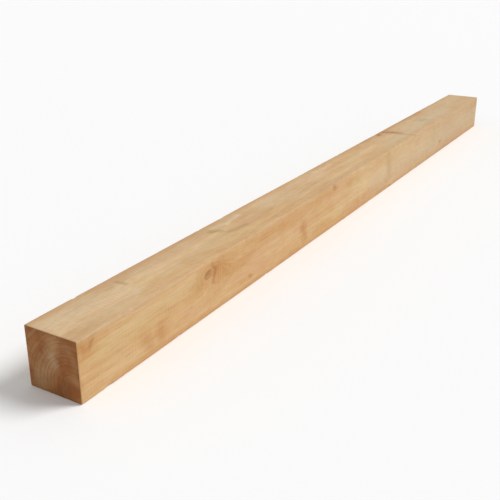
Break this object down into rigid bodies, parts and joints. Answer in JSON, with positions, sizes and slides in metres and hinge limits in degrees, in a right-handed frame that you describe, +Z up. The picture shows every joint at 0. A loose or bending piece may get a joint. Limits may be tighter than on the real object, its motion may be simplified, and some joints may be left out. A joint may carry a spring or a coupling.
{
  "type": "square-sawn wooden plank",
  "caption": "Heavy plank of hardwood sawn square, a solid length with eased long arrises and saw-cut ends, used as a beam, a post or stock for resawing.",
  "frame": {"origin": "centre of the plank's bounding box, on the plane that its underside rests on", "axes": "+X along the length, from the near end to the far end; +Y across the width; +Z up"},
  "size_m": [3, 0.15, 0.15],
  "materials": {
    "sawn_wood": "matte"
  },
  "bodies": {
    "root": {"plank": "sawn_wood"}
  },
  "joints": []
}
